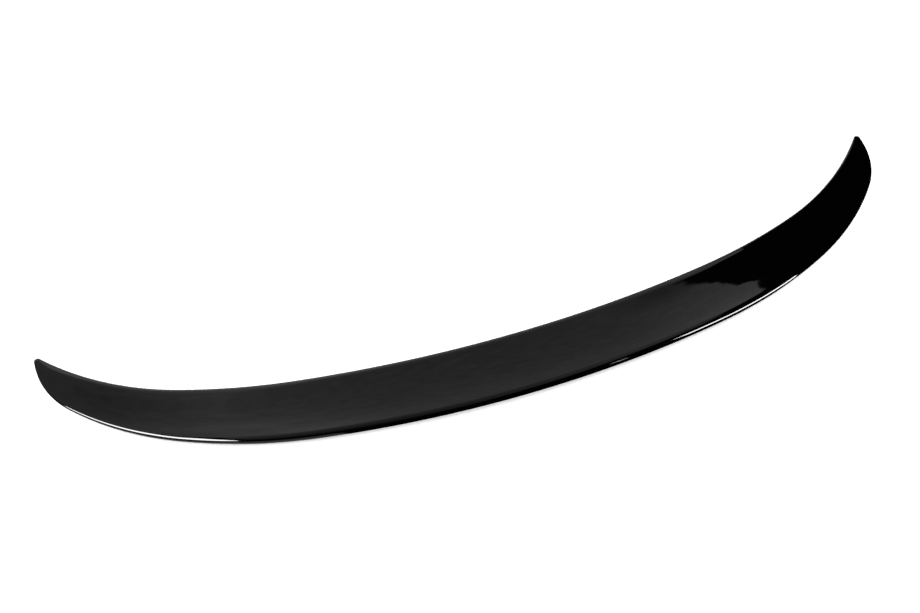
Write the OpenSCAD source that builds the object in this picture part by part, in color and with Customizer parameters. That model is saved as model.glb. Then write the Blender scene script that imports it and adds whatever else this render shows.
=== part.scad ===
// Boot-lid lip spoiler for a car: one black gloss moulding, a ducktail blade swept round the rear
// of the lid. It lies as it rests on a flat floor: on the middle of its rear foot and on its tips.
// X runs along the width, +Y towards the front of the car, +Z up. All sizes are in millimetres.

/* [Lip line in plan] */
// Radius of the trailing lip over the middle of the car
lip_mid_r = 1542; // [1302:5:1802]
// How far the middle arc of the lip turns, in degrees a side
lip_mid_turn = 10.6; // [8:0.1:13]
// Radius of the next arc out
lip_side_r = 711; // [621:2:801]
// How far the side arc turns
lip_side_turn = 14.9; // [13:0.1:19]
// Radius where the lip starts to wrap round the wing
lip_wrap_r = 404; // [340:1:450]
// How far the wrapping arc turns
lip_wrap_turn = 23.4; // [20:0.1:27]
// Radius of the rounded corner that closes on the tip
lip_corner_r = 125; // [100:1:145]
// How far the corner arc turns
lip_corner_turn = 44.4; // [40:0.2:50]

/* [Front edge in plan] */
// Depth of the blade on the centre line, lip to front edge
blade_depth = 96; // [80:1:125]
// Radius of the front edge over the middle of the car
front_mid_r = 1716; // [1501:5:2201]
// How far the middle arc of the front edge turns
front_mid_turn = 9.4; // [7:0.1:11]
// Radius of the next arc out
front_side_r = 830; // [800:2:1050]
// How far the side arc of the front edge turns
front_side_turn = 10.6; // [9:0.1:13]
// Radius of the last arc, which runs into the tip
front_wrap_r = 389; // [330:1:430]
// How far the last arc turns
front_wrap_turn = 28.5; // [26:0.1:33]
// Width of the blade where the rounding of each tip starts
tip_width = 8; // [6:0.5:12]

/* [Heights above the floor] */
// Top of the lip on the centre line
lip_height = 30; // [24:0.5:38]
// Top of the front edge on the centre line
front_height = 22; // [18:0.5:26]
// Top of the tips
tip_height = 4; // [3:0.25:6]
// Highest rise of the rear foot between the centre and the tips
foot_rise = 5; // [2:0.5:7]

/* [Section] */
// Radius of the rounded trailing lip
lip_nose_r = 7; // [4:0.25:8]
// Angle of the rear face under the lip, in from the vertical
undercut = 36; // [20:1:42]
// Rise of the deck towards the lip where it meets the nose, in degrees
deck_kick = 11; // [4:0.5:16]
// Fall of the deck just behind the front edge, in degrees
deck_dip = 1.5; // [0:0.25:4]
// Width of the rolled band along the front edge
front_roll = 8; // [4:0.5:10]
// Drop of that band from the deck to the front edge
front_drop = 2.2; // [1:0.1:3]
// Thickness of the front edge
edge_thickness = 2.4; // [1.8:0.1:3]
// Upward bulge of the bonding face between foot and front edge
seat_bulge = 2.5; // [0:0.25:4]

/* [Moulding underneath] */
// Wall of the moulding
wall = 3; // [2:0.1:4]
// Width of the bonding land along the front edge
front_land = 15; // [10:0.5:22]
// Width of the bonding foot along the rear
foot_land = 6; // [4:0.25:9]
// Distance between the cross ribs
rib_pitch = 56; // [40:1:90]
// Thickness of a rib at its free edge
rib_tip = 1.6; // [1.2:0.1:2.4]
// Thickness of a rib at its root, for draft
rib_root = 2.4; // [1.8:0.1:3.2]
// Place of the long rib across the blade, as a share of its depth
spine_place = 0.46; // [0.35:0.01:0.6]

/* [Smoothness] */
// Sections on each side of the centre line
side_steps = 34; // [24:2:38]
// Points across the deck
deck_steps = 8; // [6:1:9]

/* [Hidden] */

LIP_RUN = [[lip_mid_r, lip_mid_turn], [lip_side_r, lip_side_turn],
           [lip_wrap_r, lip_wrap_turn], [lip_corner_r, lip_corner_turn]];
FRONT_RUN = [[front_mid_r, front_mid_turn], [front_side_r, front_side_turn],
             [front_wrap_r, front_wrap_turn]];
LIP_START = [0, 0];
FRONT_START = [0, blade_depth];
nose_steps = 8;
roll_steps = 3;
seat_steps = 4;
tip_steps = 3;
tip_round = 80;           // how far round the tip the last section lies, in degrees
end_crowding = 0.6;       // share of the stations' spacing that tightens towards the tips
cut_below = 6;            // how far the pocket's cutter reaches below the bonding face
pocket_reach = 0.8;       // share of the blade, from the centre, that the pocket may take
nose_share = 0.42;        // the nose is never taller than this share of the local height
roll_share = 0.3;         // the rolled band is never wider than this share of the local depth
least = lip_nose_r / 70;  // thickness of the slices that each rib is stretched between

// A run is a row of tangent arcs, each [radius, turn].
function arc_length(arc) = arc[0] * arc[1] * PI / 180;
function run_length(run, k = 0) = k == len(run) ? 0 : arc_length(run[k]) + run_length(run, k + 1);
function on_arc(start, heading, radius, turn) =
    start + radius * [sin(heading + turn) - sin(heading), cos(heading) - cos(heading + turn)];
function on_run(run, s, start, heading = 0, k = 0) =
    let (arc = run[k], whole = arc_length(arc))
    s <= whole || k == len(run) - 1
        ? on_arc(start, heading, arc[0], arc[1] * s / whole)
        : on_run(run, s - whole, on_arc(start, heading, arc[0], arc[1]), heading + arc[1], k + 1);

// The lip follows its run. The front edge follows its own, drawn out to end beside the lip's end.
lip_end = on_run(LIP_RUN, run_length(LIP_RUN), LIP_START);
lip_heading = lip_mid_turn + lip_side_turn + lip_wrap_turn + lip_corner_turn;
front_heading = front_mid_turn + front_side_turn + front_wrap_turn;
across_tip = (lip_heading + front_heading) / 2 + 90;
front_end = lip_end + tip_width * [cos(across_tip), sin(across_tip)];
front_run_end = on_run(FRONT_RUN, run_length(FRONT_RUN), FRONT_START);
half_width = lip_end[0];

function lip_at(u) = on_run(LIP_RUN, u * run_length(LIP_RUN), LIP_START);
function front_at(u) =
    let (p = on_run(FRONT_RUN, u * run_length(FRONT_RUN), FRONT_START))
    [p[0] * front_end[0] / front_run_end[0],
     blade_depth + (p[1] - blade_depth) * (front_end[1] - blade_depth) / (front_run_end[1] - blade_depth)];

// Heights fall off with the square of the distance from the centre line.
function out_share(x) = min(1, pow(x / half_width, 2));
function lip_top(x) = tip_height + (lip_height - tip_height) * (1 - out_share(x));
function front_top(x) = tip_height + (front_height - tip_height) * (1 - out_share(x));
function foot_bottom(x) = 4 * foot_rise * out_share(x) * (1 - out_share(x));

// Everything that one section needs: where it stands, how deep and how high it is.
function station(u) =
    let (lip = lip_at(u), front = front_at(u), depth = norm(front - lip),
         top = lip_top(lip[0]), bottom = foot_bottom(lip[0]),
         edge = front_top(front[0]), nose = min(lip_nose_r, nose_share * (top - bottom)))
    [lip, (front - lip) / depth, depth, top, bottom, edge, nose];
function depth_of(st) = st[2];
function top_of(st) = st[3];
function bottom_of(st) = st[4];
function edge_of(st) = st[5];
function nose_of(st) = st[6];
function shrink(st) = min(1, (top_of(st) - bottom_of(st)) / (lip_height / 2));
function roll_of(st) = min(front_roll, roll_share * depth_of(st));
function drop_of(st) = front_drop * shrink(st) * roll_of(st) / front_roll;
function thick_of(st) = min(edge_thickness, edge_of(st) * 0.6);

// The deck is one cubic from the rolled band to the crest of the nose.
function crest(st) = [nose_of(st) * (1 - sin(-deck_kick * shrink(st))),
                      top_of(st) - nose_of(st) * (1 - cos(deck_kick * shrink(st)))];
function deck_start(st) = [depth_of(st) - roll_of(st), edge_of(st) + drop_of(st) - thick_of(st) / 4];
function hermite(a, b, da, db, t) =
    a * (2 * t * t * t - 3 * t * t + 1) + da * (t * t * t - 2 * t * t + t)
    + b * (3 * t * t - 2 * t * t * t) + db * (t * t * t - t * t);
function deck(st, t) =
    let (a = deck_start(st), b = crest(st), span = a[0] - b[0])
    [a[0] + (b[0] - a[0]) * t,
     hermite(a[1], b[1], -span * tan(deck_dip * shrink(st)), span * tan(deck_kick * shrink(st)), t)];
function deck_height(st, across) =
    let (a = deck_start(st)[0], b = crest(st)[0]) deck(st, (a - across) / (a - b))[1];

// The bonding face runs from the foot to the front edge, bulged like the lid it lies on.
function nose_end(st) =
    let (turn = 90 + undercut)
    [nose_of(st) * (1 - sin(turn)), top_of(st) - nose_of(st) * (1 - cos(turn))];
function foot(st) =
    let (from = nose_end(st)) [from[0] + (from[1] - bottom_of(st)) * tan(undercut) * shrink(st), bottom_of(st)];
function heel(st) = [min(foot(st)[0] + foot_land * shrink(st), depth_of(st) * 0.5), bottom_of(st)];
function under_edge(st) = [depth_of(st) - thick_of(st) / 2, edge_of(st) - thick_of(st)];
function seat(st, t) =
    let (a = heel(st), b = under_edge(st))
    [a[0] + (b[0] - a[0]) * t, a[1] + (b[1] - a[1]) * t + 4 * seat_bulge * shrink(st) * t * (1 - t)];
function seat_height(st, across) =
    let (a = heel(st)[0], b = under_edge(st)[0]) seat(st, (across - a) / (b - a))[1];

// One closed outline: over the front edge, along the deck, round the nose, down and back.
function outline(st) = concat(
    [for (k = [0:roll_steps])
        let (turn = 90 * k / roll_steps, start = deck_start(st))
        [start[0] + roll_of(st) * cos(turn), start[1] - (start[1] - edge_of(st) + thick_of(st) / 2)
            * (1 - sin(turn))]],
    [for (k = [1:deck_steps - 1]) deck(st, k / deck_steps)],
    [for (k = [0:nose_steps])
        let (turn = -deck_kick * shrink(st) + (90 + undercut + deck_kick * shrink(st)) * k / nose_steps)
        [nose_of(st) * (1 - sin(turn)), top_of(st) - nose_of(st) * (1 - cos(turn))]],
    [foot(st)],
    [for (k = [0:seat_steps]) seat(st, k / seat_steps)]);

// Sections are placed in space by their own station, and mirrored for the left side.
function placed(st, p, side) =
    let (at = st[0] + st[1] * p[0]) [side * at[0], at[1], p[1]];
function spread(v) = (1 - end_crowding) * v + end_crowding * sin(90 * v);
function side_stations(reach, steps) = [for (i = [0:steps]) spread(i / steps) * reach];
function both_sides(reach, steps) =
    let (us = side_stations(reach, steps))
    concat([for (i = [steps:-1:1]) [us[i], -1]], [for (i = [0:steps]) [us[i], 1]]);

// Each tip is rounded by a few sections that shrink along a circle, tangent to lip and front edge.
tip_taper = (lip_heading - front_heading) / 2;
tip_radius = tip_width / 2 / cos(tip_taper);
function tip_section(turn, side) =
    let (st = station(1), mid = depth_of(st) / 2, level = tip_height / 2, out = [-st[1][1], st[1][0]],
         size = cos(turn) / cos(tip_taper), reach = tip_radius * (sin(turn) - sin(tip_taper)))
    [for (p = outline(st))
        let (at = st[0] + st[1] * (mid + (p[0] - mid) * size) - out * reach)
        [side * at[0], at[1], level + (p[1] - level) * size]];
function tip_sections(side) =
    [for (k = [1:tip_steps]) tip_section(tip_taper + (tip_round - tip_taper) * k / tip_steps, side)];

// A skin of triangles over a row of closed sections.
module loft(sections) {
    n = len(sections[0]);
    m = len(sections);
    points = [for (s = sections) each s];
    sides = [for (i = [0:m - 2], k = [0:n - 1])
        let (a = i * n + k, b = i * n + (k + 1) % n, c = a + n, d = b + n)
        each [[a, d, b], [a, c, d]]];
    ends = [[for (k = [0:n - 1]) k], [for (k = [n - 1:-1:0]) (m - 1) * n + k]];
    polyhedron(points, concat(sides, ends), convexity = 8);
}

module blade() {
    stations = both_sides(1, side_steps);
    left = tip_sections(-1);
    right = tip_sections(1);
    loft(concat([for (k = [tip_steps - 1:-1:0]) left[k]],
        [for (s = stations) let (st = station(s[0])) [for (p = outline(st)) placed(st, p, s[1])]],
        right));
}

// The open hollow under the deck, which leaves the wall, the foot and the front land.
function pocket_section(st) =
    let (rear = heel(st)[0] + wall / 4, far = depth_of(st) - front_land,
         top_rear = crest(st)[0] + wall, steps = 6)
    concat(
        [for (k = [0:steps])
            let (a = far + (top_rear - far) * k / steps) [a, deck_height(st, a) - wall]],
        [[rear, bottom_of(st) + wall], [rear, bottom_of(st) - cut_below]],
        [[far, seat_height(st, far) - cut_below]]);
module pocket() {
    loft([for (s = both_sides(pocket_reach, side_steps * 0.75))
        let (st = station(s[0])) [for (p = pocket_section(st)) placed(st, p, s[1])]]);
}

// Cross ribs stand square to the blade and are thicker at the root than at the free edge.
rib_count = floor(pocket_reach * run_length(LIP_RUN) / rib_pitch);
module rib(u, side) {
    st = station(u);
    a = placed(st, [0, 0], side);
    b = placed(st, [depth_of(st), 0], side);
    hull() {
        for (p = [a, b]) {
            translate([p[0], p[1], top_of(st)])
                cylinder(h = least, d = rib_root, $fn = 8);
            translate([p[0], p[1], -least])
                cylinder(h = least, d = rib_tip, $fn = 8);
        }
    }
}
module ribs() {
    rib(0, 1);
    for (k = [1:rib_count], side = [-1, 1]) {
        rib(k * rib_pitch / run_length(LIP_RUN), side);
    }
}

// One long rib follows the blade between the front land and the rear wall.
module spine() {
    loft([for (s = both_sides(pocket_reach + 0.02, side_steps * 0.75))
        let (st = station(s[0]), a = depth_of(st) * spine_place)
        [for (p = [[a + rib_root / 2, lip_height], [a - rib_root / 2, lip_height],
                   [a - rib_tip / 2, -cut_below * 2], [a + rib_tip / 2, -cut_below * 2]])
            placed(st, p, s[1])]]);
}

// The part stands with its origin under the middle of its box.
reach_forward = max([for (s = tip_sections(1), p = s) p[1]]);
module spoiler() {
    color("#151516")
    translate([0, -reach_forward / 2, 0])
    difference() {
        blade();
        difference() {
            pocket();
            ribs();
            spine();
        }
    }
}

spoiler();
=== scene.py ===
import bpy
from math import cos, hypot, pi, radians, sin, tan
from mathutils import Matrix, Vector


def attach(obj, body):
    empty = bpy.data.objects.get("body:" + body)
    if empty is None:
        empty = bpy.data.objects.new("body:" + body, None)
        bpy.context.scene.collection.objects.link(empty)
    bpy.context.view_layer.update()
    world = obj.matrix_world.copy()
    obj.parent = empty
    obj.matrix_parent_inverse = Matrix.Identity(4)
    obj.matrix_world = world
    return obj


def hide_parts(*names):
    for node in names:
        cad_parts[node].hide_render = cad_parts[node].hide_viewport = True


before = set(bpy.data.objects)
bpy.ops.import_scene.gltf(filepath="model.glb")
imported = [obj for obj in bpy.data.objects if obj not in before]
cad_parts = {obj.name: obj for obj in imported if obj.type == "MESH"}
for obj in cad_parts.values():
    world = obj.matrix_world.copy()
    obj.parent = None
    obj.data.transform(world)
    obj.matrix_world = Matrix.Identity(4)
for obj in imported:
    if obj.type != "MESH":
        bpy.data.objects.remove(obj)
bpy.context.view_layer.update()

print("stage 1: frame loaded")

# Camera: two metres back, above and behind the left half of the lip
cameraView = {
    "distance": 2.0,       # from the aim point, in metres
    "turn": 18.79,         # degrees that the right tip swings away
    "elevation": 55.44,    # degrees above the floor
    "aimSide": -0.0562,    # aim point, sideways in the picture
    "aimUp": 0.0161,       # aim point, upwards in the picture
    "lens": 56.84,
    "sensor": 36.0,
    "farthest": 60.0,      # what lies beyond this isn't drawn, in metres
}


def pictureAxes(view):
    turn, lift = radians(view["turn"]), radians(view["elevation"])
    side = Vector((cos(turn), -sin(turn), 0))
    away = Vector((sin(turn), cos(turn), 0))
    forward = away * cos(lift) - Vector((0, 0, 1)) * sin(lift)
    upward = away * sin(lift) + Vector((0, 0, 1)) * cos(lift)
    return side, upward, forward


def addCamera(view):
    side, upward, forward = pictureAxes(view)
    aim = side * view["aimSide"] + upward * view["aimUp"]
    data = bpy.data.cameras.new("viewCamera")
    data.lens = view["lens"]
    data.sensor_width = view["sensor"]
    data.clip_end = view["farthest"]
    camera = bpy.data.objects.new("viewCamera", data)
    turned = Matrix((side, upward, -forward)).transposed().to_4x4()
    camera.matrix_world = Matrix.Translation(aim - forward * view["distance"]) @ turned
    bpy.context.scene.collection.objects.link(camera)
    bpy.context.scene.camera = camera


addCamera(cameraView)
print("stage 2: camera placed")

mmPerMetre = 1000

# Shape of the blade, in millimetres and degrees, the same as in the CAD
bladeShape = {
    "lipArcs": [(1542, 10.6), (711, 14.9), (404, 23.4), (125, 44.4)],    # radius, turn
    "frontArcs": [(1716, 9.4), (830, 10.6), (389, 28.5)],
    "bladeDepth": 96.0,
    "tipWidth": 8.0,
    "lipHeight": 30.0,
    "frontHeight": 22.0,
    "tipHeight": 4.0,
    "footRise": 5.0,       # how far the foot lifts between middle and tip
    "noseRadius": 7.0,
    "noseShare": 0.42,     # of the height, where the blade is thin
    "undercut": 36.0,      # lean of the rear face
    "deckKick": 11.0,      # slope of the deck at the lip
    "deckDip": 1.5,        # and at the front
    "frontRoll": 8.0,
    "rollShare": 0.3,      # of the depth, where the blade is narrow
    "frontDrop": 2.2,
    "edgeThickness": 2.4,
    "edgeShare": 0.6,      # of the front height, where that is low
    "sinkShare": 0.25,     # of the edge's thickness, how far the roll starts lower
    "shrinkBelow": 0.5,    # of the lip's height, under which a section shrinks
    "seatBulge": 2.5,      # rise of the bonding face in its middle
    "footLand": 6.0,
    "heelShare": 0.5,      # of the depth, where the blade is narrow
    "endCrowding": 0.6,    # how much the sections crowd towards the tips
    "tipRound": 86.0,      # turn of the circle that closes each tip
}
# Hollow under the deck, in millimetres
hollowShape = {
    "wall": 3.0,
    "frontLand": 15.0,
    "cutBelow": 6.0,       # how far the cutter passes below the blade
    "rearShare": 0.25,     # of the wall, between the foot and the hollow
    "reach": 0.8,          # share of the lip's length on each side
    "ribPitch": 56.0,
    "ribTip": 1.6,
    "ribRoot": 2.4,
    "ribBelow": 1.0,
    "spinePlace": 0.46,    # of the depth, from the lip
    "spineOver": 0.02,     # share by which the long rib passes the hollow's end
    "spineBelow": 12.0,
}
# How finely the blade is drawn
bladeMesh = {
    "sideSteps": 150,
    "tipSteps": 10,
    "rollSteps": 12,
    "deckSteps": 36,
    "noseSteps": 30,
    "footSteps": 4,
    "seatSteps": 10,
    "hollowSteps": 90,
    "hollowAcross": 16,
    "sharpAngle": 28.0,    # edges sharper than this stay crisp, in degrees
}


def arcLength(arc):
    return arc[0] * radians(arc[1])


def onArc(start, heading, radius, turn):
    h, t = radians(heading), radians(turn)
    return (start[0] + radius * (sin(h + t) - sin(h)), start[1] + radius * (cos(h) - cos(h + t)))


def onRun(arcs, s, start):
    heading = 0.0
    for arc in arcs[:-1]:
        whole = arcLength(arc)
        if s <= whole:
            return onArc(start, heading, arc[0], arc[1] * s / whole)
        start = onArc(start, heading, arc[0], arc[1])
        heading += arc[1]
        s -= whole
    arc = arcs[-1]
    return onArc(start, heading, arc[0], arc[1] * s / arcLength(arc))


def planOf(shape):
    plan = {"lipLength": sum(arcLength(a) for a in shape["lipArcs"])}
    plan["frontLength"] = sum(arcLength(a) for a in shape["frontArcs"])
    plan["lipEnd"] = onRun(shape["lipArcs"], plan["lipLength"], (0, 0))
    lipHeading, frontHeading = (sum(a[1] for a in shape[k]) for k in ("lipArcs", "frontArcs"))
    across = radians((lipHeading + frontHeading) / 2 + 90)
    plan["taper"] = radians((lipHeading - frontHeading) / 2)
    plan["frontEnd"] = (plan["lipEnd"][0] + shape["tipWidth"] * cos(across),
                        plan["lipEnd"][1] + shape["tipWidth"] * sin(across))
    plan["runEnd"] = onRun(shape["frontArcs"], plan["frontLength"], (0, shape["bladeDepth"]))
    return plan


def frontPoint(shape, plan, u):
    deep = shape["bladeDepth"]
    x, y = onRun(shape["frontArcs"], u * plan["frontLength"], (0, deep))
    stretch = (plan["frontEnd"][1] - deep) / (plan["runEnd"][1] - deep)
    return (x * plan["frontEnd"][0] / plan["runEnd"][0], deep + (y - deep) * stretch)


def stationAt(shape, plan, u):
    lip = onRun(shape["lipArcs"], u * plan["lipLength"], (0, 0))
    front = frontPoint(shape, plan, u)
    depth = hypot(front[0] - lip[0], front[1] - lip[1])
    lipOut = min(1, (lip[0] / plan["lipEnd"][0]) ** 2)
    frontOut = min(1, (front[0] / plan["lipEnd"][0]) ** 2)
    tip = shape["tipHeight"]
    s = {"lip": lip, "depth": depth}
    s["way"] = ((front[0] - lip[0]) / depth, (front[1] - lip[1]) / depth)
    s["top"] = tip + (shape["lipHeight"] - tip) * (1 - lipOut)
    s["bottom"] = 4 * shape["footRise"] * lipOut * (1 - lipOut)
    s["edge"] = tip + (shape["frontHeight"] - tip) * (1 - frontOut)
    s["nose"] = min(shape["noseRadius"], shape["noseShare"] * (s["top"] - s["bottom"]))
    s["shrink"] = min(1, (s["top"] - s["bottom"]) / (shape["lipHeight"] * shape["shrinkBelow"]))
    s["roll"] = min(shape["frontRoll"], shape["rollShare"] * depth)
    s["drop"] = shape["frontDrop"] * s["shrink"] * s["roll"] / shape["frontRoll"]
    s["thick"] = min(shape["edgeThickness"], s["edge"] * shape["edgeShare"])
    s["sink"] = s["thick"] * shape["sinkShare"]
    return s


def nosePoint(s, turn):
    return (s["nose"] * (1 - sin(turn)), s["top"] - s["nose"] * (1 - cos(turn)))


def deckStart(s):
    return (s["depth"] - s["roll"], s["edge"] + s["drop"] - s["sink"])


def deckPoint(shape, s, t):
    a, b = deckStart(s), nosePoint(s, -radians(shape["deckKick"] * s["shrink"]))
    span = a[0] - b[0]
    fall = -span * tan(radians(shape["deckDip"] * s["shrink"]))
    rise = span * tan(radians(shape["deckKick"] * s["shrink"]))
    z = (a[1] * (2 * t**3 - 3 * t * t + 1) + fall * (t**3 - 2 * t * t + t)
         + b[1] * (3 * t * t - 2 * t**3) + rise * (t**3 - t * t))
    return (a[0] + (b[0] - a[0]) * t, z)


def deckHeight(shape, s, across):
    a, b = deckStart(s)[0], nosePoint(s, -radians(shape["deckKick"] * s["shrink"]))[0]
    return deckPoint(shape, s, (a - across) / (a - b))[1]


def footOf(shape, s):
    last = nosePoint(s, radians(90 + shape["undercut"]))
    lean = tan(radians(shape["undercut"]))
    return (last[0] + (last[1] - s["bottom"]) * lean * s["shrink"], s["bottom"])


def heelOf(shape, s):
    heel = footOf(shape, s)[0] + shape["footLand"] * s["shrink"]
    return (min(heel, s["depth"] * shape["heelShare"]), s["bottom"])


def seatPoint(shape, s, t):
    a, b = heelOf(shape, s), (s["depth"] - s["thick"] / 2, s["edge"] - s["thick"])
    return (a[0] + (b[0] - a[0]) * t,
            a[1] + (b[1] - a[1]) * t + 4 * shape["seatBulge"] * s["shrink"] * t * (1 - t))


def seatHeight(shape, s, across):
    a, b = heelOf(shape, s)[0], s["depth"] - s["thick"] / 2
    return seatPoint(shape, s, (across - a) / (b - a))[1]


def outlineOf(shape, fine, s):
    start, foot = deckStart(s), footOf(shape, s)
    low = start[1] - s["edge"] + s["thick"] / 2
    rolled = [pi / 2 * k / fine["rollSteps"] for k in range(fine["rollSteps"] + 1)]
    points = [(start[0] + s["roll"] * cos(t), start[1] - low * (1 - sin(t))) for t in rolled]
    points += [deckPoint(shape, s, k / fine["deckSteps"]) for k in range(1, fine["deckSteps"])]
    kick = shape["deckKick"] * s["shrink"]
    sweep = 90 + shape["undercut"] + kick
    turns = [radians(-kick + sweep * k / fine["noseSteps"]) for k in range(fine["noseSteps"] + 1)]
    points += [nosePoint(s, turn) for turn in turns]
    last = points[-1]
    for k in range(1, fine["footSteps"] + 1):
        t = k / fine["footSteps"]
        points.append((last[0] + (foot[0] - last[0]) * t, last[1] + (foot[1] - last[1]) * t))
    seat = [seatPoint(shape, s, k / fine["seatSteps"]) for k in range(fine["seatSteps"] + 1)]
    return points + seat


def placed(s, point):
    return (s["lip"][0] + s["way"][0] * point[0], s["lip"][1] + s["way"][1] * point[0], point[1])


def bothSides(right):
    return [[(-x, y, z) for x, y, z in row] for row in right[:0:-1]] + right


def bladeSections(shape, plan, fine):
    right = []
    for i in range(fine["sideSteps"] + 1):
        w = i / fine["sideSteps"]
        even = (1 - shape["endCrowding"]) * w
        s = stationAt(shape, plan, even + shape["endCrowding"] * sin(pi / 2 * w))
        right.append([placed(s, p) for p in outlineOf(shape, fine, s)])
    s = stationAt(shape, plan, 1)
    middle, level, taper = s["depth"] / 2, shape["tipHeight"] / 2, plan["taper"]
    for k in range(1, fine["tipSteps"] + 1):
        t = taper + (radians(shape["tipRound"]) - taper) * k / fine["tipSteps"]
        size, reach = cos(t) / cos(taper), middle / cos(taper) * (sin(t) - sin(taper))
        row = []
        for p in outlineOf(shape, fine, s):
            x, y, z = placed(s, (middle + (p[0] - middle) * size, level + (p[1] - level) * size))
            row.append((x + s["way"][1] * reach, y - s["way"][0] * reach, z))
        right.append(row)
    return bothSides(right)


def hollowSections(shape, hollow, plan, fine):
    right = []
    for i in range(fine["hollowSteps"] + 1):
        s = stationAt(shape, plan, hollow["reach"] * i / fine["hollowSteps"])
        crest = nosePoint(s, -radians(shape["deckKick"] * s["shrink"]))[0]
        rear = heelOf(shape, s)[0] + hollow["wall"] * hollow["rearShare"]
        far = s["depth"] - hollow["frontLand"]
        points = []
        for k in range(fine["hollowAcross"] + 1):
            a = far + (crest + hollow["wall"] - far) * k / fine["hollowAcross"]
            points.append((a, deckHeight(shape, s, a) - hollow["wall"]))
        points += [(rear, s["bottom"] + hollow["wall"]), (rear, s["bottom"] - hollow["cutBelow"])]
        points += [(far, seatHeight(shape, s, far) - hollow["cutBelow"])]
        right.append([placed(s, p) for p in points])
    return bothSides(right)


def spineSections(shape, hollow, plan, fine):
    right = []
    top, low = shape["lipHeight"], -hollow["spineBelow"]
    for i in range(fine["hollowSteps"] + 1):
        u = (hollow["reach"] + hollow["spineOver"]) * i / fine["hollowSteps"]
        s = stationAt(shape, plan, u)
        a = s["depth"] * hollow["spinePlace"]
        root, tip = hollow["ribRoot"] / 2, hollow["ribTip"] / 2
        corners = [(a + root, top), (a - root, top), (a - tip, low), (a + tip, low)]
        right.append([placed(s, p) for p in corners])
    return bothSides(right)


def ribSections(shape, hollow, plan, u, side):
    s = stationAt(shape, plan, u)
    high, low = (s["top"], hollow["ribRoot"]), (-hollow["ribBelow"], hollow["ribTip"])
    corners = [(0, *high), (0, *low), (s["depth"], *low), (s["depth"], *high)]
    rows = []
    for half in (-1, 1):
        row = []
        for across, z, thick in corners:
            x, y, up = placed(s, (across, z))
            shift = half * side * thick / 2
            row.append((side * (x + s["way"][1] * shift), y - s["way"][0] * shift, up))
        rows.append(row)
    return rows


def loftMesh(name, sections, shiftY):
    n, m = len(sections[0]), len(sections)
    points = [(x / mmPerMetre, (y - shiftY) / mmPerMetre, z / mmPerMetre)
              for row in sections for x, y, z in row]
    faces = []
    for i in range(m - 1):
        for k in range(n):
            a, b = i * n + k, i * n + (k + 1) % n
            faces.append((a, b, b + n, a + n))
    faces += [tuple(range(n - 1, -1, -1)), tuple(range((m - 1) * n, m * n))]
    mesh = bpy.data.meshes.new(name)
    mesh.from_pydata(points, [], faces)
    mesh.validate()
    made = bpy.data.objects.new(name, mesh)
    bpy.context.scene.collection.objects.link(made)
    return made


def applyBoolean(target, cutter, operation):
    change = target.modifiers.new(operation.lower(), "BOOLEAN")
    change.object = cutter
    change.operation = operation
    change.solver = "MANIFOLD"
    change.material_mode = "TRANSFER"
    bpy.context.view_layer.update()
    evaluated = target.evaluated_get(bpy.context.evaluated_depsgraph_get())
    result = bpy.data.meshes.new_from_object(evaluated)
    old = target.data
    target.modifiers.clear()
    target.data = result
    bpy.data.meshes.remove(old)
    bpy.data.objects.remove(cutter)


# Finish of the outside, and of the moulded inside that nobody sees on the car
glossBlack = {
    "colour": (0.0006, 0.0006, 0.0007, 1),
    "refraction": 1.5,
    "roughness": 0.02,
    "smear": 0.02,         # how much wiping marks change the roughness
    "smearSize": 9.0,
    "smearDetail": 5,
    "peelSize": 420.0,     # fine ripples in the lacquer
    "peelDetail": 2,
    "peelDepth": 0.012,
    "peelHeight": 0.0005,
    "swaySize": 45.0,      # slow waves left by the mould
    "swayDetail": 1,
    "swayDepth": 0.03,
    "swayHeight": 0.002,
}
mouldedInside = {
    "colour": (0.012, 0.012, 0.013, 1),
    "refraction": 1.5,
    "roughness": 0.42,
    "grainSize": 1500.0,
    "grainDetail": 2,
    "grainDepth": 0.12,
    "grainHeight": 0.0003,
}


def newMaterial(name):
    material = bpy.data.materials.new(name)
    material.use_nodes = True
    nodes = material.node_tree.nodes
    return material, nodes, material.node_tree.links, nodes["Principled BSDF"]


def noiseOf(nodes, links, place, size, detail):
    noise = nodes.new("ShaderNodeTexNoise")
    noise.inputs["Scale"].default_value = size
    noise.inputs["Detail"].default_value = detail
    links.new(place.outputs["Object"], noise.inputs["Vector"])
    return noise.outputs["Fac"]


def bumpOf(nodes, links, pattern, strength, height):
    bump = nodes.new("ShaderNodeBump")
    bump.inputs["Strength"].default_value = strength
    bump.inputs["Distance"].default_value = height
    links.new(pattern, bump.inputs["Height"])
    return bump


def remapped(nodes, links, value, came, goes):
    change = nodes.new("ShaderNodeMapRange")
    for name, number in zip(("From Min", "From Max", "To Min", "To Max"), came + goes):
        change.inputs[name].default_value = number
    links.new(value, change.inputs["Value"])
    return change.outputs["Result"]


def makeGlossBlack(values):
    material, nodes, links, skin = newMaterial("glossBlackLacquer")
    skin.inputs["Base Color"].default_value = values["colour"]
    skin.inputs["IOR"].default_value = values["refraction"]
    place = nodes.new("ShaderNodeTexCoord")
    smear = noiseOf(nodes, links, place, values["smearSize"], values["smearDetail"])
    sway = noiseOf(nodes, links, place, values["swaySize"], values["swayDetail"])
    peel = noiseOf(nodes, links, place, values["peelSize"], values["peelDetail"])
    smooth, dull = values["roughness"], values["roughness"] + values["smear"]
    links.new(remapped(nodes, links, smear, (0, 1), (smooth, dull)), skin.inputs["Roughness"])
    swayBump = bumpOf(nodes, links, sway, values["swayDepth"], values["swayHeight"])
    peelBump = bumpOf(nodes, links, peel, values["peelDepth"], values["peelHeight"])
    links.new(swayBump.outputs["Normal"], peelBump.inputs["Normal"])
    links.new(peelBump.outputs["Normal"], skin.inputs["Normal"])
    return material


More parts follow.
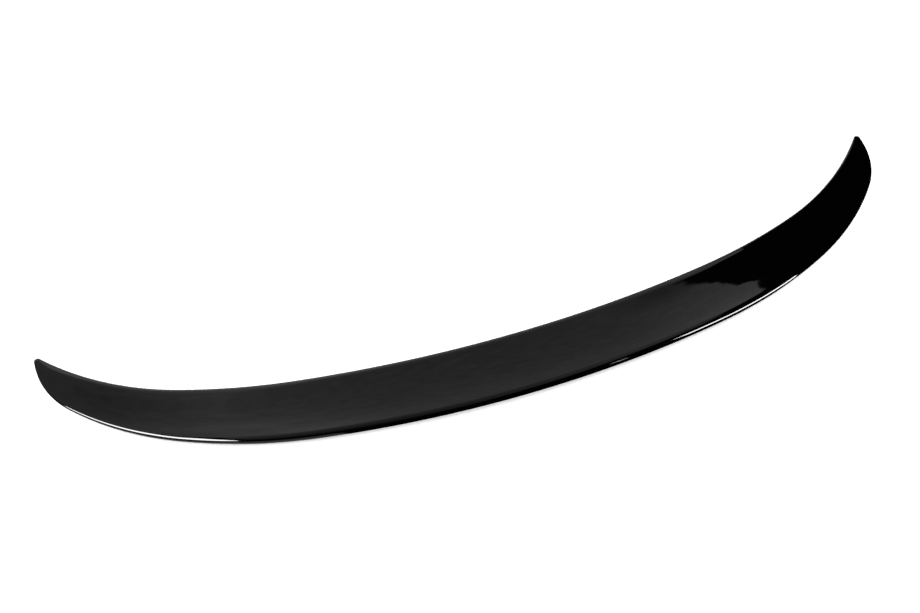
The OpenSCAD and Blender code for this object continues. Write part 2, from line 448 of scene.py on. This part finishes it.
def makeMouldedInside(values):
    material, nodes, links, skin = newMaterial("mouldedInside")
    skin.inputs["Base Color"].default_value = values["colour"]
    skin.inputs["IOR"].default_value = values["refraction"]
    skin.inputs["Roughness"].default_value = values["roughness"]
    place = nodes.new("ShaderNodeTexCoord")
    grain = noiseOf(nodes, links, place, values["grainSize"], values["grainDetail"])
    bump = bumpOf(nodes, links, grain, values["grainDepth"], values["grainHeight"])
    links.new(bump.outputs["Normal"], skin.inputs["Normal"])
    return material


def buildBlade(shape, hollow, fine):
    plan = planOf(shape)
    sections = bladeSections(shape, plan, fine)
    shiftY = max(p[1] for row in sections for p in row) / 2
    blade = loftMesh("spoilerBlade", sections, shiftY)
    pocket = loftMesh("pocketCutter", hollowSections(shape, hollow, plan, fine), shiftY)
    blade.data.materials.append(makeGlossBlack(glossBlack))
    pocket.data.materials.append(makeMouldedInside(mouldedInside))
    spine = loftMesh("spineWall", spineSections(shape, hollow, plan, fine), shiftY)
    applyBoolean(pocket, spine, "DIFFERENCE")
    ribCount = int(hollow["reach"] * plan["lipLength"] / hollow["ribPitch"])
    for k in range(ribCount + 1):
        for side in ((1,) if k == 0 else (-1, 1)):
            u = k * hollow["ribPitch"] / plan["lipLength"]
            rib = loftMesh("crossRib", ribSections(shape, hollow, plan, u, side), shiftY)
            applyBoolean(pocket, rib, "DIFFERENCE")
    print("stage 3: hollow and ribs cut", len(pocket.data.polygons))
    applyBoolean(blade, pocket, "DIFFERENCE")
    for face in blade.data.polygons:
        face.use_smooth = True
    blade.data.set_sharp_from_angle(angle=radians(fine["sharpAngle"]))
    return blade


blade = buildBlade(bladeShape, hollowShape, bladeMesh)
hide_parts("spoiler")
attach(blade, "root")
print("stage 4: blade built, faces", len(blade.data.polygons))

# Studio: a pale floor and a soft lamp, and cards that only the gloss sees. Places are metres
# sideways and away as the photographer stood. The cards' outlines are set to put the
# reflections where the photograph has them.
paleFloor = {
    "size": 30.0,
    "colour": (0.92, 0.92, 0.92, 1),
    "roughness": 0.9,
    "glow": 0.47,
}


def addFloor(values):
    mesh = bpy.data.meshes.new("studioFloor")
    h = values["size"] / 2
    mesh.from_pydata([(-h, -h, 0), (h, -h, 0), (h, h, 0), (-h, h, 0)], [], [(0, 1, 2, 3)])
    floor = bpy.data.objects.new("studioFloor", mesh)
    bpy.context.scene.collection.objects.link(floor)
    material, _, _, skin = newMaterial("paleFloor")
    skin.inputs["Base Color"].default_value = values["colour"]
    skin.inputs["Roughness"].default_value = values["roughness"]
    skin.inputs["Specular IOR Level"].default_value = 0
    skin.inputs["Emission Color"].default_value = (1, 1, 1, 1)
    skin.inputs["Emission Strength"].default_value = values["glow"]
    mesh.materials.append(material)
    floor.visible_glossy = False


def glowMaterial(name, strength):
    material = bpy.data.materials.new(name)
    material.use_nodes = True
    nodes, links = material.node_tree.nodes, material.node_tree.links
    nodes.clear()
    glow = nodes.new("ShaderNodeEmission")
    glow.inputs["Strength"].default_value = strength
    out = nodes.new("ShaderNodeOutputMaterial")
    links.new(glow.outputs["Emission"], out.inputs["Surface"])
    return material, nodes, links, glow


def addCard(name, corners, material):
    mesh = bpy.data.meshes.new(name)
    mesh.from_pydata(corners, [], [tuple(range(len(corners)))])
    mesh.materials.append(material)
    card = bpy.data.objects.new(name, mesh)
    bpy.context.scene.collection.objects.link(card)
    card.visible_camera = False
    card.visible_diffuse = False
    card.visible_shadow = False


def studioAxes():
    side = pictureAxes(cameraView)[0]
    return side, Vector((-side.y, side.x, 0))


def overhead(outline, height):
    side, away = studioAxes()
    return [side * x + away * y + Vector((0, 0, height)) for x, y in outline]


def placeMeasured(nodes, links, place, operation, vector):
    measure = nodes.new("ShaderNodeVectorMath")
    measure.operation = operation
    measure.inputs[1].default_value = vector
    links.new(place.outputs["Object"], measure.inputs[0])
    return measure.outputs["Value"]


# Brightness along a direction, from stops of metres and brightness. It comes as a share of the
# strongest stop, with that stop beside it.
def rampAlong(nodes, links, place, direction, stops):
    along = placeMeasured(nodes, links, place, "DOT_PRODUCT", direction)
    low, high = stops[0][0], stops[-1][0]
    share = remapped(nodes, links, along, (low, high), (0, 1))
    curve = nodes.new("ShaderNodeFloatCurve")
    points = curve.mapping.curves[0].points
    top = max(value for where, value in stops)
    for k, (where, value) in enumerate(stops):
        at = ((where - low) / (high - low), value / top)
        if k in (0, len(stops) - 1):
            points[0 if k == 0 else -1].location = at
        else:
            points.new(*at)
    for point in points:
        point.handle_type = "VECTOR"
    curve.mapping.update()
    links.new(share, curve.inputs["Value"])
    return curve.outputs["Value"], top


def multiplied(nodes, links, first, second):
    product = nodes.new("ShaderNodeMath")
    product.operation = "MULTIPLY"
    links.new(first, product.inputs[0])
    if isinstance(second, float):
        product.inputs[1].default_value = second
    else:
        links.new(second, product.inputs[1])
    return product.outputs["Value"]


# Overhead panel: it shows in the deck, and its right edge bounds the black at the right end
overheadPanel = {
    "height": 2.2,
    "outline": [(-3.2, 0.7), (-1.85, 0.7), (-1.55, 0.97), (-1.25, 1.0), (-1.05, 0.8),
                (-0.95, 0.2), (-0.92, -3.6), (0.6, -3.6), (1.5, 0.1), (1.25, 0.8),
                (1.02, 1.32), (0.72, 1.49), (0.76, 1.55), (0.81, 1.61), (0.855, 1.66),
                (0.9, 1.75), (0.912, 1.84), (0.918, 1.95), (0.92, 2.08), (0.94, 2.17),
                (0.945, 2.34), (0.885, 2.56), (0.82, 2.83), (0.77, 3.18), (0.7, 3.5),
                (-3.2, 3.5)],
    "away": [(-4.0, 0.04), (-2.7, 0.09), (-1.3, 0.20), (0.0, 0.31), (0.7, 0.39), (1.05, 0.37),
             (1.15, 0.41), (1.5, 0.44), (1.9, 0.48), (2.3, 0.56), (2.7, 0.64), (3.2, 0.80)],
    "across": [(-1.8, 1.0), (-1.6, 0.95), (-1.4, 0.87), (-1.25, 1.08), (-1.1, 1.3),
               (-0.98, 1.48), (-0.8, 1.33), (-0.65, 1.14), (-0.5, 1.0), (-0.25, 0.93),
               (0.05, 0.85), (0.4, 0.86), (0.55, 0.97), (0.8, 1.15)],
    "spots": [(0.72, 1.5, 0.28, 0.45), (-1.12, 1.7, 0.4, 1.35)],    # side, away, reach, share
    "clothSize": 22.0,
    "clothDetail": 4,
    "clothDepth": 0.4,     # how much its folds change the brightness
}


def addPanel(values):
    side, away = studioAxes()
    material, nodes, links, glow = glowMaterial("overheadPanel", 1)
    place = nodes.new("ShaderNodeTexCoord")
    awayShare, awayTop = rampAlong(nodes, links, place, away, values["away"])
    acrossShare, acrossTop = rampAlong(nodes, links, place, side, values["across"])
    both = multiplied(nodes, links, awayShare, acrossShare)
    cloth = noiseOf(nodes, links, place, values["clothSize"], values["clothDetail"])
    dark, light = 1 - values["clothDepth"], 1 + values["clothDepth"]
    both = multiplied(nodes, links, both, remapped(nodes, links, cloth, (0, 1), (dark, light)))
    for x, y, reach, share in values["spots"]:
        middle = overhead([(x, y)], values["height"])[0]
        gap = placeMeasured(nodes, links, place, "DISTANCE", middle)
        both = multiplied(nodes, links, both, remapped(nodes, links, gap, (0, reach), (share, 1)))
    links.new(multiplied(nodes, links, both, float(awayTop * acrossTop)), glow.inputs["Strength"])
    addCard("overheadPanel", overhead(values["outline"], values["height"]), material)


# Far wall: it shows in the rolled front edge
farWall = {
    "away": 4.0,
    "left": -3.4,
    "right": 0.5,
    "top": 2.5,
    "across": [(-3.4, 1.9), (-1.2, 1.25), (0.0, 0.7), (0.5, 0.7)],
}


def addWall(values):
    side, away = studioAxes()
    ends = [side * x + away * values["away"] for x in (values["left"], values["right"])]
    top = Vector((0, 0, values["top"]))
    corners = [ends[0], ends[1], ends[1] + top, ends[0] + top]
    material, nodes, links, glow = glowMaterial("farWall", 1)
    place = nodes.new("ShaderNodeTexCoord")
    share, strongest = rampAlong(nodes, links, place, side, values["across"])
    links.new(multiplied(nodes, links, share, float(strongest)), glow.inputs["Strength"])
    addCard("farWall", corners, material)


# Lamps: the white strips and the short glint on the lip, a softbox far to the left, and a pale
# patch on the floor before the lip. An upright lamp has two ends: turn from straight away
# towards the right, then lowest and highest lift, in degrees.
lampCards = {
    "stripStrength": 27.0,
    "overheadHeight": 2.18,
    "leftOutline": [(-1.42, 0.93), (-1.6, 0.9), (-1.84, 0.6), (-2.04, 0.35), (-2.34, 0.02),
                    (-2.85, -0.5), (-2.75, -1.0), (-2.35, -1.5), (-2.0, -1.9), (-1.95, -5.5),
                    (-1.55, -5.5), (-1.3, -4.0), (-1.15, -2.2), (-1.13, -1.15), (-1.16, -0.65),
                    (-1.25, -0.45), (-1.29, 0.06), (-1.32, 0.58)],
    "rightEnds": [(103.0, -12.0, 6.0), (127.0, 3.0, 20.0)],
    "glintEnds": [(135.0, 12.5, 16.5), (136.9, 12.0, 21.0)],
    "glintStrength": 12.0,
    "uprightReach": 4.0,
    "softboxOutline": [(-2.4, 1.65), (-1.43, 1.65), (-1.32, 2.1), (-1.28, 3.5), (-2.4, 3.5)],
    "softboxStrength": 1.05,
    "patchOutline": [(-0.78, -0.42), (-0.2, -0.42), (-0.2, -0.05), (-0.78, 0.2)],
    "patchHeight": 0.0005,
    "patchStrength": 0.55,
}


def uprightCard(ends, reach):
    side, away = studioAxes()
    lows, highs = [], []
    for turn, low, high in ends:
        foot = side * reach * sin(radians(turn)) + away * reach * cos(radians(turn))
        lows.append(foot + Vector((0, 0, reach * tan(radians(low)))))
        highs.append(foot + Vector((0, 0, reach * tan(radians(high)))))
    return lows + highs[::-1]


def addLamps(values):
    high, reach = values["overheadHeight"], values["uprightReach"]
    white = glowMaterial("stripLamp", values["stripStrength"])[0]
    addCard("leftLamp", overhead(values["leftOutline"], high), white)
    addCard("rightLamp", uprightCard(values["rightEnds"], reach), white)
    faint = glowMaterial("rightGlint", values["glintStrength"])[0]
    addCard("rightGlint", uprightCard(values["glintEnds"], reach), faint)
    soft = glowMaterial("softbox", values["softboxStrength"])[0]
    addCard("softbox", overhead(values["softboxOutline"], high), soft)
    pale = glowMaterial("bouncePatch", values["patchStrength"])[0]
    addCard("bouncePatch", overhead(values["patchOutline"], values["patchHeight"]), pale)


# Soft lamp that lights the floor and leaves a faint shadow under the lip
softFill = {
    "strength": 3.3,
    "spread": 37.0,        # how wide it is, in degrees
    "lean": 18.5,          # how far it leans towards the photographer
}


def addFill(values):
    data = bpy.data.lights.new("softFill", "SUN")
    data.energy = values["strength"]
    data.angle = radians(values["spread"])
    lamp = bpy.data.objects.new("softFill", data)
    lean = radians(values["lean"])
    shining = studioAxes()[1] * sin(lean) - Vector((0, 0, cos(lean)))
    lamp.rotation_euler = shining.to_track_quat("-Z", "Y").to_euler()
    lamp.visible_glossy = False
    bpy.context.scene.collection.objects.link(lamp)


# Sky: seen behind the floor, but it lights nothing
paleSky = {
    "strength": 1.0,
    "colour": (1, 1, 1, 1),
}


def addSky(values):
    world = bpy.data.worlds.new("studioSky")
    world.use_nodes = True
    backdrop = world.node_tree.nodes["Background"]
    backdrop.inputs["Strength"].default_value = values["strength"]
    backdrop.inputs["Color"].default_value = values["colour"]
    world.cycles_visibility.diffuse = False
    world.cycles_visibility.glossy = False
    bpy.context.scene.world = world


addFloor(paleFloor)
addPanel(overheadPanel)
addWall(farWall)
addLamps(lampCards)
addFill(softFill)
addSky(paleSky)
bpy.context.scene.view_settings.view_transform = "Standard"
print("stage 5: studio lit")
